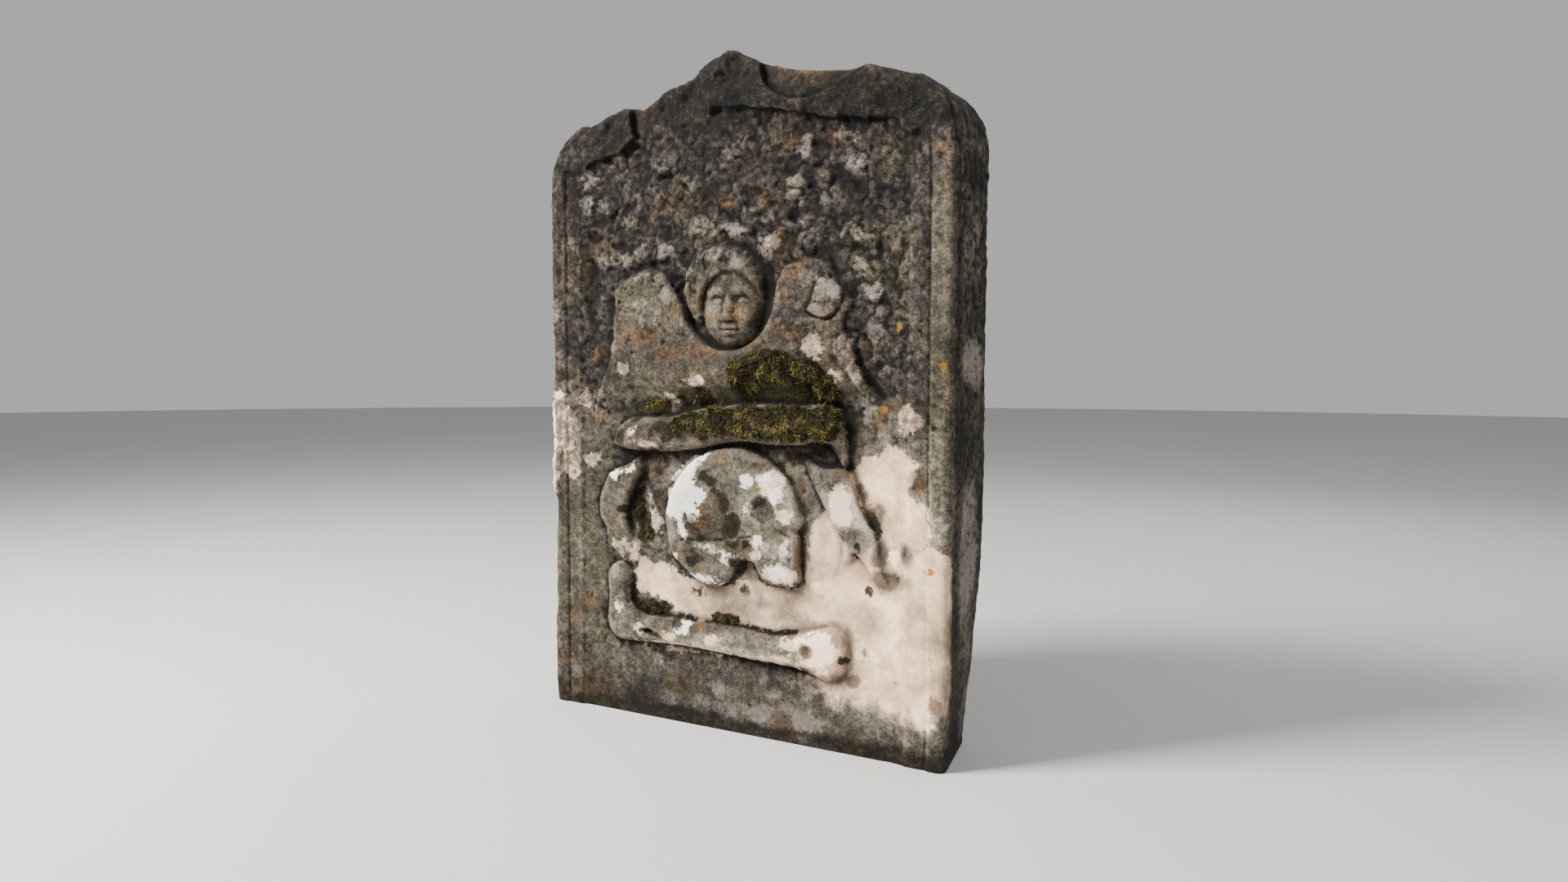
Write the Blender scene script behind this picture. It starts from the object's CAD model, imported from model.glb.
"""The looks of a weathered headstone: sandstone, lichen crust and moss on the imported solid.

Places on the carved face are given in millimetres as (x, z), with z up from the ground.
"""
import itertools
import math

import bmesh
import bpy
import numpy as np
from mathutils import Matrix, Vector


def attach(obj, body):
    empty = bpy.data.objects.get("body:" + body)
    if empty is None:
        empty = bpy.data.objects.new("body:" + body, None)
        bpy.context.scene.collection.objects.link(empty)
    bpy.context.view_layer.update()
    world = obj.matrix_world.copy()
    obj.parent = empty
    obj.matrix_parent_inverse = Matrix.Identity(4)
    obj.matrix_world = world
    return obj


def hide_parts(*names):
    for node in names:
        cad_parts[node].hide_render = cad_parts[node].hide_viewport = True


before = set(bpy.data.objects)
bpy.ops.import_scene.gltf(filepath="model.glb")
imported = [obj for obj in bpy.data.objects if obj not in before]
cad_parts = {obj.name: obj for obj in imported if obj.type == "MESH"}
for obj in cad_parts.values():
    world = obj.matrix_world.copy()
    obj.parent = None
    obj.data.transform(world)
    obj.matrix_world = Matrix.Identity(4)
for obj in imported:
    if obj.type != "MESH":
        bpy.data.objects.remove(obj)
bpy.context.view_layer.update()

STONE_CELL = 0.0018
MOSS_CELL = 0.0013
STONE_TRIANGLES = 192000
SMOOTH_ROUNDS, WEAR_ROUNDS = ((5, 60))

# Each of these pairs is where a smooth step across the stone is 0 and where it is 1, in metres.
# The depths are values of y, which is less than 0 at the front; the edges lie to the sides.
FRONT_DEPTHS, WRAPPED_DEPTHS, FIGURE_DEPTHS = (-0.036, -0.046), (-0.044, -0.060), (-0.04, -0.05)
BACK_DEPTHS, BACK_EDGE_DEPTHS = (0.035, 0.055), (0.056, 0.064)
FACE_EDGE, SIDE_EDGE, RIGHT_EDGE = (0.306, 0.296), (0.290, 0.298), (0.286, 0.298)

# Round the side edges patches run on to this depth, and then fade by so many centimetres a metre
PATCH_END, PATCH_FADE = -0.058, 200

# Points below these heights are pressed flat on the ground, and are left there by the weathering
FLAT_BELOW, FIXED_BELOW = 0.0012, 0.0004

# Where moss grows, each as x, z, half width, half height
MOSS_ON_SCROLL = [
    (60, 411, 96, 17), (-36, 406, 42, 14), (134, 411, 20, 20), (20, 416, 60, 12), (-78, 402, 14, 8),
]
MOSS_UNDER_WINGS = [
    (52, 484, 30, 13), (74, 474, 56, 14), (116, 466, 26, 17), (18, 472, 20, 18), (-56, 444, 18, 6),
    (130, 452, 28, 7), (-128, 431, 12, 4),
]
MOSS_IN_CORNERS = [
    (-158, 284, 5, 9), (-141, 254, 6, 5), (-140, 151, 23, 5), (-22, 149, 12, 3), (-112, 157, 9, 4),
]
MOSS_REACH = -0.0690                # moss fibres that would stand further out lie down

# A fibre has three corners at each of two shares of its length, at a width, and a point at its end.
# These are its faces, and how much of the tip's colour each of its seven points has.
FIBRE_WIDTHS = ((-0.12, 0.00060), (0.5, 0.00055))
FIBRE_FACES = np.array([
    (0, 1, 4), (0, 4, 3), (1, 2, 5), (1, 5, 4), (2, 0, 3), (2, 3, 5),
    (3, 4, 6), (4, 5, 6), (5, 3, 6), (2, 1, 0),
])
FIBRE_TIPS = (0.0, 0.0, 0.0, 0.55, 0.55, 0.55, 1.0)

# The head, and what is cut deeper into its face: depth, place and size as shares of its half size.
# A feature that is off the middle is there on both sides, and one of less than no depth is raised.
HEAD_PLACE = (-0.006, 0.562)
HEAD_SIZE = (0.047, 0.057)
HAIR_PLACE = (-0.019, 0.583)
HAIR_SIZE = (0.062, 0.057)
HAIR_LOCKS = 8.5                    # how many locks go by in a turn of one radian
LOCK_DEPTH, STRAND_DEPTH = 0.0016, 0.0006
LOCK_WAVE, STRAND_WAVE = 0.011, 0.006
FACE_CUTS = [
    (0.0016, (0.00, 0.00), (0.95, 0.85)),
    (0.0034, (0.40, 0.09), (0.25, 0.13)),
    (-0.0026, (0.40, 0.05), (0.155, 0.085)),
    (0.0007, (0.40, -0.005), (0.17, 0.022)),
    (-0.0010, (0.38, 0.29), (0.28, 0.07)),
    (0.0012, (0.17, -0.20), (0.07, 0.12)),
    (-0.0016, (0.13, -0.33), (0.07, 0.055)),
    (0.0014, (0.07, -0.41), (0.07, 0.030)),
    (0.0010, (0.00, -0.46), (0.05, 0.05)),
    (-0.0012, (0.09, -0.535), (0.13, 0.040)),
    (-0.0012, (0.00, -0.655), (0.16, 0.045)),
    (0.0018, (0.00, -0.595), (0.24, 0.020)),
    (0.0012, (0.27, -0.59), (0.05, 0.05)),
    (0.0013, (0.00, -0.75), (0.17, 0.040)),
    (-0.0014, (0.00, -0.88), (0.20, 0.09)),
    (-0.0010, (0.52, -0.28), (0.20, 0.18)),
]

# Plates that stand proud, or are sunk, each as its height in millimetres, the width of its edge
# and its outline
PLATES = [
    (2.2, 2.0, [(110, 549), (121, 542), (135, 539), (149, 545), (158, 560), (157, 575), (146, 585),
                (130, 589), (121, 578), (118, 562)]),
    (1.2, 1.6, [(112, 549), (121, 543), (135, 540), (148, 546), (150, 556), (134, 558), (118, 559)]),
    (-2.0, 3.0, [(177, 521), (187, 520), (196, 506), (199, 492), (190, 486), (181, 488), (176, 503)]),
    (1.6, 4.0, [(148, 512), (158, 518), (168, 505), (176, 490), (190, 466), (205, 445), (198, 436),
                (182, 452), (168, 472), (156, 482), (148, 496)]),
    (-1.8, 4.0, [(-165, 310), (-150, 318), (-140, 300), (-138, 270), (-146, 250), (-158, 262),
                 (-166, 285)]),
    (1.4, 3.0, [(-30, 640), (0, 642), (10, 630), (-5, 620), (-35, 618), (-56, 622), (-58, 634)]),
]

# Fine lines cut into the stone, each as its depth and half width in millimetres and its run
LINES = [
    (1.6, 1.6, [(108, 549), (114, 544), (121, 541), (135, 538), (144, 539), (151, 546)]),
    (1.0, 1.2, [(118, 559), (126, 558), (136, 556)]),
    (2.0, 2.2, [(140, 613), (147, 600), (155, 580), (170, 565)]),
    (2.2, 2.6, [(162, 527), (170, 524), (181, 522)]),
    (2.2, 3.0, [(178, 518), (174, 503), (181, 484), (194, 466), (210, 444)]),
    (1.0, 1.4, [(150, 503), (156, 499), (162, 503)]),
    (1.0, 1.6, [(157, 262), (156, 250), (150, 233), (141, 216)]),
    (1.6, 2.2, [(-78, 250), (-50, 252), (-20, 254), (0, 258), (33, 262)]),
    (1.2, 2.0, [(100, 262), (84, 266), (66, 274)]),
    (0.8, 1.1, [(52, 203), (53, 214)]),
    (0.8, 1.1, [(62, 203), (62, 216)]),
    (0.8, 1.1, [(72, 203), (72, 216)]),
    (0.8, 1.1, [(82, 203), (82, 215)]),
    (1.2, 1.6, [(-157, 826), (-158, 812), (-153, 790)]),
]

# Places where time has rounded the carving off, each as x, z, half width, half height, strength
WORN_PLACES = [
    (150, 232, 20, 24, 0.6), (132, 300, 12, 50, 0.4), (220, 420, 30, 24, 0.8), (-19, 792, 20, 17, 1.0),
]

# The crust's relief in metres. Knobs higher than the level, a share of the highest, stand proud.
KNOB_SIZE, SMALL_KNOB_SIZE = 0.036, 0.0150
KNOB_HEIGHT, SMALL_KNOB_HEIGHT, KNOB_LEVEL = 0.0062, 0.0036, 0.36
BLOTCH_HEIGHT, ROUGH_HEIGHT, WAVE_HEIGHT = 0.0026, 0.0012, 0.0010
PIT_SIZE, PIT_DEPTH = 0.020, 0.0022

# The cells that hold a round lichen each on the hidden sides, and how strong its middle has to be
SPOT_SIZE, SPOT_LEVEL = 0.085, 0.62

# Places outside a patch or an outline count as at most this far out, in centimetres
FAR_OUT = 4.0

# Grime washed into corners and cracks, each as its half width in millimetres, strength and run
GRIME = [
    (5.0, 0.95, [(163, 362), (172, 348), (179, 330), (186, 308), (195, 292), (206, 276), (210, 256),
                 (212, 243), (220, 231), (234, 226)]),
    (9.0, 0.45, [(24, 374), (52, 368), (74, 355), (92, 336), (104, 315), (107, 298)]),
    (6.0, 0.20, [(102, 280), (103, 255), (104, 235), (103, 214)]),
    (4.0, 0.90, [(166, 432), (170, 410), (171, 385), (168, 362)]),
    (2.2, 0.80, [(-172, 413), (-150, 415), (-120, 412), (-90, 413)]),
    (3.2, 0.90, [(-194, 341), (-180, 347), (-160, 352), (-150, 359)]),
    (2.2, 0.95, [(-142, 121), (-120, 115)]),
    (4.5, 0.80, [(162, 148), (168, 128), (169, 108), (160, 92), (146, 87)]),
    (6.0, 0.80, [(48, 604), (52, 585), (47, 563), (36, 545), (22, 530)]),
    (6.0, 0.75, [(-90, 590), (-81, 570), (-70, 548), (-58, 526), (-40, 512)]),
    (5.0, 0.80, [(60, 374), (84, 368), (112, 358)]),
    (2.4, 0.60, [(-52, 257), (-20, 256), (8, 263)]),
    (2.4, 0.70, [(140, 613), (147, 600), (155, 580), (170, 565), (176, 548)]),
    (3.2, 0.90, [(162, 527), (172, 524), (182, 522)]),
    (3.2, 0.80, [(178, 518), (174, 503), (181, 484), (194, 466), (210, 444)]),
    (2.2, 0.85, [(110, 549), (121, 542), (135, 539), (151, 547)]),
    (5.0, 0.60, [(-196, 566), (-200, 530), (-206, 500), (-222, 470), (-236, 450)]),
    (2.8, 0.85, [(-156, 830), (-157, 812), (-153, 790)]),
    (4.0, 0.70, [(-252, 750), (-220, 764), (-157, 772), (-100, 790), (-40, 806)]),
    (4.0, 0.45, [(-277, 20), (-277, 280)]),
    (1.3, 0.40, [(247, 52), (247, 260)]),
    (3.0, 0.75, [(0, 141), (60, 140), (100, 146), (134, 155)]),
    (2.2, 0.50, [(-205, 101), (-180, 95), (-100, 96), (0, 94), (90, 94), (125, 84)]),
    (1.3, 0.60, [(134, 300), (146, 284), (160, 268)]),
    (1.6, 0.50, [(182, 241), (191, 228), (202, 217)]),
    (1.8, 0.60, [(158, 258), (155, 244), (149, 230), (142, 214)]),
    (6.0, 0.30, [(-148, 250), (-156, 275), (-158, 300), (-146, 330)]),
    (4.0, 0.75, [(-30, 375), (0, 377), (34, 375)]),
]

# How thickly the crust grows, painted with soft strokes: x, z, half width, half height, amount
CRUST_BASE = 0.40
CRUST_STROKES = [
    (0, 760, 330, 170, 1.0), (-130, 590, 190, 90, 0.9), (200, 570, 60, 130, 0.9),
    (-225, 520, 30, 110, 0.8), (-280, 620, 24, 150, 0.55), (285, 600, 20, 140, 0.25),
    (258, 600, 14, 140, 0.55), (-130, 535, 62, 70, 0.36), (110, 540, 56, 66, 0.36),
    (0, 470, 170, 36, 0.24), (-8, 570, 60, 66, 0.20), (-42, 612, 34, 26, 0.52), (-8, 565, 44, 52, 0.16),
    (-30, 632, 32, 14, 0.60), (0, 400, 170, 30, 0.20), (-283, 375, 32, 72, 0.75),
    (-230, 230, 60, 150, 0.26), (-5, 275, 110, 90, 0.24), (160, 300, 50, 80, 0.14),
    (-20, 125, 180, 26, 0.20), (200, 190, 110, 170, 0.03), (-20, 180, 130, 34, 0.03),
    (0, 40, 280, 44, 0.14), (70, 830, 60, 20, 0.3), (140, 832, 36, 12, 0.2), (-140, 812, 22, 20, 0.3),
    (-19, 792, 18, 12, 0.25),
]

# How light or dark the stone is, 0 to 1
TONE_BASE = 0.42
TONE_STROKES = [
    (0, 760, 330, 150, 0.25), (-200, 590, 120, 150, 0.25), (200, 600, 90, 150, 0.30),
    (0, 650, 130, 50, 0.30), (-60, 828, 130, 40, 0.16), (150, 790, 80, 12, 0.15),
    (60, 838, 24, 12, 0.28), (-285, 620, 22, 150, 0.27), (-285, 480, 20, 24, 0.40),
    (258, 560, 14, 200, 0.39), (286, 560, 15, 230, 0.40), (-130, 540, 62, 70, 0.44),
    (110, 540, 60, 70, 0.38), (-8, 565, 56, 66, 0.38), (0, 470, 170, 30, 0.42),
    (-150, 440, 60, 20, 0.44), (-225, 400, 24, 40, 0.48), (-285, 378, 32, 72, 0.47),
    (-240, 200, 60, 170, 0.50), (-185, 280, 30, 60, 0.50), (-140, 120, 70, 40, 0.58),
    (-280, 160, 26, 160, 0.40), (-290, 120, 10, 130, 0.37), (-290, 262, 12, 30, 0.34),
    (-150, 390, 44, 18, 0.47), (-40, 376, 110, 8, 0.44), (0, 280, 105, 95, 0.56),
    (60, 290, 50, 90, 0.60), (-40, 272, 40, 18, 0.42), (-80, 235, 26, 14, 0.48),
    (-125, 300, 26, 70, 0.42), (-122, 350, 14, 10, 0.28), (-142, 362, 12, 8, 0.18),
    (-158, 320, 14, 40, 0.40), (130, 290, 60, 100, 0.70), (132, 374, 25, 11, 0.22),
    (-172, 356, 22, 9, 0.16), (20, 125, 180, 24, 0.62), (0, 108, 140, 6, 0.78), (0, 45, 260, 50, 0.38),
    (-80, 80, 130, 16, 0.42), (200, 36, 60, 20, 0.42), (-150, 24, 28, 18, 0.30), (75, 14, 14, 22, 0.22),
    (-232, 30, 34, 12, 0.30), (235, 12, 44, 14, 0.28), (0, 4, 330, 18, 0.12), (215, 210, 80, 170, 0.84),
    (200, 165, 40, 50, 0.99), (225, 330, 40, 46, 0.76), (-30, 172, 110, 26, 0.64),
    (-10, 152, 130, 10, 0.66), (-115, 190, 50, 34, 0.66), (150, 175, 60, 24, 0.82),
    (118, 260, 14, 60, 0.62), (120, 318, 16, 30, 0.58), (190, 78, 70, 16, 0.70),
    (140, 345, 30, 20, 0.46), (215, 220, 20, 16, 0.52), (175, 272, 20, 11, 0.50),
    (18, 217, 19, 15, 0.24), (165, 115, 6, 40, 0.60), (-38, 137, 50, 9, 0.36),
    (-114, 133, 16, 10, 0.36), (161, 94, 14, 10, 0.55), (-95, 213, 22, 12, 0.44),
    (140, 151, 28, 10, 0.56), (272, 69, 16, 26, 0.92), (92, 366, 20, 10, 0.24),
    (117, 359, 14, 10, 0.42), (261, 345, 16, 14, 0.46), (228, 396, 14, 10, 0.50),
    (-250, 452, 14, 12, 0.34), (-82, 452, 20, 10, 0.48), (-103, 436, 20, 10, 0.50),
    (120, 250, 10, 40, 0.74), (-80, 797, 60, 16, 0.13), (-39, 828, 26, 12, 0.10),
    (33, 822, 30, 10, 0.16), (-8, 552, 50, 30, 0.50), (167, 492, 10, 14, 0.48),
    (278, 448, 14, 14, 0.32), (97, 498, 10, 8, 0.30), (-24, 322, 12, 8, 0.66), (177, 247, 14, 10, 0.80),
    (283, 246, 14, 16, 0.66), (-168, 235, 14, 12, 0.66), (-181, 202, 12, 10, 0.46),
    (132, 202, 20, 10, 0.95), (-105, 89, 16, 8, 0.30), (-175, 86, 20, 9, 0.38), (207, 73, 22, 14, 0.86),
    (-230, 494, 16, 22, 0.42), (231, 397, 16, 10, 0.44), (281, 386, 12, 18, 0.58),
    (45, 358, 26, 8, 0.46), (247, 256, 8, 14, 0.42), (211, 253, 9, 18, 0.40), (-22, 251, 40, 6, 0.44),
    (236, 223, 14, 10, 0.55), (-76, 198, 16, 7, 0.54), (-31, 182, 30, 8, 0.50),
    (-150, 139, 12, 9, 0.42), (162, 138, 12, 10, 0.62), (41, 134, 26, 8, 0.46), (158, 90, 13, 9, 0.38),
    (-206, 71, 16, 10, 0.54), (155, 60, 24, 10, 0.64), (206, 560, 12, 12, 0.30),
    (288, 610, 14, 80, 0.50), (-287, 467, 18, 11, 0.20), (-165, 441, 46, 9, 0.54),
    (-264, 398, 10, 24, 0.42), (-280, 368, 12, 12, 0.46), (-124, 305, 12, 12, 0.30),
    (-262, 290, 18, 14, 0.32), (-288, 276, 12, 20, 0.26), (-134, 269, 12, 12, 0.54),
    (-249, 259, 14, 16, 0.38), (-128, 239, 14, 9, 0.58), (-252, 125, 10, 16, 0.40),
    (145, 81, 16, 8, 0.48), (-234, 81, 16, 10, 0.50), (81, 78, 12, 8, 0.50), (40, 28, 60, 14, 0.50),
    (110, 38, 32, 18, 0.52), (-15, 52, 17, 12, 0.54), (292, 12, 18, 18, 0.06), (-292, 12, 18, 20, 0.10),
    (205, 300, 10, 16, 0.60),
]

# The same on the right side, but with y in the place of x, and its pale lichens
SIDE_TONE_BASE = 0.35
SIDE_TONE_STROKES = [
    (-54, 600, 14, 190, 0.22), (4, 640, 34, 90, 0.44), (56, 560, 12, 220, 0.26), (4, 712, 34, 22, 0.20),
    (10, 484, 38, 26, 0.66), (0, 400, 60, 42, 0.32), (4, 250, 34, 92, 0.62), (6, 120, 26, 60, 0.54),
    (-56, 240, 8, 190, 0.40), (58, 240, 8, 200, 0.26), (0, 20, 70, 30, 0.24),
]
SIDE_LILAC_PATCHES = [
    (8, 490, 30, 22), (24, 466, 20, 18), (0, 300, 22, 36), (10, 240, 20, 46), (-6, 200, 18, 40),
    (8, 130, 12, 34),
]

# How readily tan stone shows through, and how olive the weathering is, each 0 to 1
WARMTH_BASE = 0.45
WARMTH_STROKES = [
    (0, 760, 330, 150, 0.75), (0, 520, 230, 70, 1.0), (-230, 590, 40, 120, 0.9),
    (0, 280, 130, 100, 0.25), (-240, 200, 70, 170, 0.22), (0, 45, 320, 60, 0.10),
    (285, 520, 24, 220, 0.45), (0, 120, 180, 30, 0.2),
]
OLIVE_BASE = 0.25
OLIVE_STROKES = [
    (0, 760, 330, 150, 0.20), (-200, 640, 60, 60, 0.6), (-150, 570, 50, 50, 0.55),
    (210, 590, 40, 60, 0.5), (0, 450, 200, 30, 0.75), (-240, 180, 80, 170, 0.85),
    (40, 300, 70, 80, 0.6), (0, 125, 190, 30, 0.6), (0, 30, 320, 30, 0.15), (285, 430, 22, 120, 0.7),
]

# The smooth pale stone that has shed its crust
BARE_OUTLINE = [
    (166, 352), (180, 368), (202, 372), (216, 386), (238, 384), (258, 368), (258, 352), (249, 334),
    (262, 322), (276, 300), (274, 272), (300, 260), (316, 250), (316, 74), (290, 66), (280, 50),
    (262, 42), (240, 48), (215, 58), (190, 64), (165, 56), (140, 60), (108, 92), (90, 142), (0, 142),
    (-60, 142), (-100, 150), (-128, 166), (-160, 172), (-167, 200), (-152, 226), (-132, 214),
    (-106, 210), (-84, 196), (-40, 190), (0, 198), (22, 226), (42, 200), (98, 200), (106, 226),
    (106, 262), (112, 285), (134, 300), (158, 266), (175, 246), (200, 262), (204, 286), (184, 306),
    (176, 332),
]

# Bright white crust, as outlines and as patches. Each patch is x, z, half width, half height and,
# where it is tilted, its turn to the left in degrees.
WHITE_OUTLINES = [
    [(-107, 283), (-106, 300), (-103, 318), (-97, 332), (-86, 344), (-74, 354), (-62, 360), (-50, 363),
     (-34, 366), (-46, 353), (-52, 345), (-55, 334), (-55, 324), (-44, 323), (-38, 313), (-41, 303),
     (-57, 302), (-50, 288), (-62, 285), (-78, 287), (-76, 270), (-65, 258), (-72, 251), (-84, 262),
     (-86, 276), (-94, 282)],
    [(-203, 332), (-192, 336), (-178, 338), (-166, 341), (-156, 352), (-156, 342), (-163, 337),
     (-178, 334), (-184, 325), (-190, 324), (-195, 328)],
]
CREAM_OUTLINES = [
    [(-330, 432), (-298, 434), (-293, 446), (-286, 448), (-278, 440), (-270, 441), (-264, 428),
     (-269, 412), (-261, 400), (-266, 386), (-259, 372), (-264, 358), (-258, 346), (-252, 340),
     (-253, 328), (-262, 320), (-276, 330), (-288, 322), (-294, 306), (-302, 292), (-330, 290)],
    [(144, 300), (142, 318), (146, 330), (156, 338), (164, 332), (170, 320), (174, 304), (176, 288),
     (168, 282), (152, 286)],
]
WHITE_PATCHES = [
    (-77, 132, 12, 9), (-184, 147, 7, 6), (-170, 389, 11, 2, 32), (-40, 200, 32, 4, -5),
    (22, 333, 8, 7), (66, 316, 6, 8, 20), (52, 338, 7, 6), (40, 256, 6, 7), (70, 216, 14, 7),
    (-301, 396, 6, 42), (-290, 440, 6, 5), (-301, 320, 5, 20), (-8, 232, 6, 5),
]
CREAM_PATCHES = [
    (58, 332, 17, 19), (66, 316, 11, 9), (79, 292, 14, 10), (-62, 279, 11, 6), (88, 127, 16, 9),
    (24, 296, 6, 7), (40, 256, 8, 8), (38, 238, 7, 6), (79, 254, 6, 10, -20), (72, 216, 26, 13),
    (-24, 240, 24, 5, -12), (-10, 228, 10, 7), (-100, 116, 9, 8), (-30, 118, 11, 8), (-147, 122, 9, 7),
    (-92, 226, 5, 6), (116, 508, 13, 14), (122, 498, 11, 10), (146, 467, 10, 9), (246, 416, 16, 16),
    (-240, 437, 9, 12), (-172, 478, 9, 8), (56, 638, 11, 12), (-231, 352, 12, 11),
    (-178, 226, 22, 13, -25), (-130, 272, 8, 15, 20), (-142, 302, 7, 6), (129, 127, 27, 19),
    (60, 103, 64, 6), (-60, 103, 70, 6), (228, 252, 10, 12), (-134, 374, 16, 3, -6), (-60, 462, 14, 7),
    (-100, 440, 12, 7), (-56, 356, 12, 6, 25),
]
LILAC_PATCHES = [
    (286, 745, 10, 6), (43, 298, 18, 16), (-264, 430, 10, 16), (-262, 400, 9, 14), (-264, 372, 12, 12),
    (-258, 350, 9, 14), (-22, 52, 15, 12), (-104, 30, 14, 11), (-46, 28, 17, 12), (-10, 26, 17, 15),
    (38, 30, 18, 13), (80, 43, 10, 8), (108, 28, 22, 18), (112, 68, 11, 10), (62, 62, 7, 6),
    (45, 75, 7, 6), (250, 34, 8, 10), (-195, 88, 11, 8), (-120, 76, 8, 9), (-172, 52, 8, 9),
    (-98, 262, 11, 20), (-104, 335, 12, 16, -30), (-118, 330, 6, 14), (185, 262, 12, 16),
    (154, 252, 6, 14), (150, 228, 6, 10, -20), (190, 272, 8, 8), (247, 257, 7, 14), (206, 250, 7, 18),
    (124, 345, 7, 18, 16), (136, 318, 8, 26, 25), (-232, 737, 12, 11), (-237, 704, 12, 11),
    (103, 749, 8, 14), (175, 721, 11, 10), (3, 655, 13, 9), (-106, 635, 13, 10), (48, 632, 9, 12),
    (90, 692, 12, 10), (138, 572, 17, 12), (132, 549, 18, 8), (205, 520, 14, 14), (190, 428, 9, 15),
    (197, 570, 9, 9), (181, 599, 9, 9), (-36, 626, 22, 8), (-150, 366, 10, 4), (-264, 343, 8, 9),
    (-190, 200, 8, 10), (124, 310, 8, 30), (212, 392, 10, 7), (278, 18, 14, 8),
]
GREY_PATCHES = [
    (-110, 746, 10, 8), (-175, 736, 12, 9), (-64, 719, 11, 9), (130, 686, 12, 8), (-35, 660, 10, 8),
    (-204, 658, 12, 9), (-259, 649, 8, 12), (123, 636, 10, 9), (-170, 624, 10, 12), (-203, 623, 12, 11),
    (8, 612, 12, 9), (-72, 608, 11, 9), (181, 599, 13, 12), (-13, 599, 13, 8), (-139, 598, 15, 9),
    (-112, 595, 12, 9), (108, 591, 10, 9), (134, 581, 12, 10), (-99, 575, 11, 9), (197, 570, 12, 10),
    (150, 569, 9, 8), (-27, 567, 14, 14), (-232, 737, 16, 14), (-237, 704, 16, 15), (103, 749, 12, 16),
    (175, 721, 14, 12), (-4, 751, 16, 11), (96, 710, 14, 12), (90, 692, 16, 12), (-165, 674, 12, 9),
    (-52, 665, 13, 11), (103, 657, 12, 10), (3, 655, 16, 12), (170, 643, 12, 10), (108, 641, 14, 10),
    (-106, 635, 16, 12), (-147, 634, 14, 10), (48, 632, 13, 16), (165, 760, 13, 10),
    (-204, 699, 13, 11), (27, 681, 14, 9), (52, 667, 11, 8), (158, 500, 9, 18), (176, 472, 10, 14),
    (190, 437, 10, 12), (-290, 560, 10, 16), (-210, 560, 14, 20), (285, 290, 12, 24), (60, 245, 26, 14),
    (130, 690, 11, 7), (112, 728, 9, 9), (-133, 555, 24, 16), (208, 545, 10, 10),
]
SHADE_PATCHES = [
    (124, 748, 12, 9), (22, 744, 13, 10), (-100, 729, 12, 8), (84, 727, 15, 7), (-250, 718, 9, 9),
    (155, 713, 12, 12), (117, 706, 9, 9), (31, 703, 13, 10), (-41, 702, 13, 9), (170, 697, 14, 10),
    (-164, 695, 11, 9), (-144, 680, 11, 9), (-214, 678, 13, 10), (243, 678, 9, 14), (-5, 675, 13, 9),
    (-103, 673, 14, 8), (90, 670, 12, 8), (166, 666, 14, 9), (151, 659, 15, 12), (-103, 655, 12, 8),
    (-221, 654, 12, 12), (38, 652, 9, 9), (-14, 645, 12, 9), (-180, 644, 12, 9), (6, 632, 11, 7),
    (25, 620, 9, 10), (93, 622, 14, 13), (180, 621, 12, 8), (-127, 619, 14, 10), (130, 619, 12, 9),
    (-224, 611, 11, 16), (37, 611, 10, 9), (-154, 610, 12, 8), (-176, 600, 13, 10), (-93, 598, 14, 10),
    (49, 590, 14, 18), (148, 592, 10, 8), (-85, 582, 10, 16), (-10, 576, 8, 10), (165, 572, 9, 12),
    (-79, 564, 9, 14), (-198, 560, 8, 20), (200, 662, 13, 9), (-99, 770, 14, 8), (-17, 777, 14, 8),
    (15, 729, 16, 9), (-35, 684, 14, 8), (32, 545, 9, 16), (-63, 575, 8, 12),
]
TAN_PATCHES = [
    (88, 760, 14, 10), (142, 758, 22, 8), (195, 762, 20, 9), (60, 738, 22, 6), (-22, 690, 30, 11),
    (85, 790, 40, 7), (70, 846, 13, 7), (132, 832, 34, 10), (-142, 815, 13, 12), (-76, 846, 14, 7),
    (70, 625, 9, 30), (-232, 625, 8, 30), (-214, 492, 18, 14), (-86, 570, 9, 20), (-140, 520, 22, 12),
    (-100, 498, 24, 11), (-45, 500, 22, 10), (30, 508, 22, 7), (85, 522, 24, 10), (95, 602, 13, 10),
    (188, 505, 10, 15), (208, 420, 12, 9), (-122, 348, 15, 11), (-236, 150, 20, 10), (-40, 545, 12, 8),
    (5, 545, 14, 14), (8, 612, 9, 7), (-75, 470, 18, 7), (-225, 410, 16, 7), (158, 470, 6, 5),
    (286, 728, 9, 9), (-96, 398, 14, 6, 40), (-265, 720, 7, 20), (0, 860, 12, 6), (162, 510, 6, 7),
    (150, 484, 8, 6), (8, 246, 14, 5), (-50, 272, 26, 12), (-46, 294, 12, 8), (-128, 125, 9, 3),
    (-282, 66, 12, 6), (94, 94, 6, 4), (-262, 110, 4, 40), (-50, 132, 14, 5), (40, 690, 12, 8),
]
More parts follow.
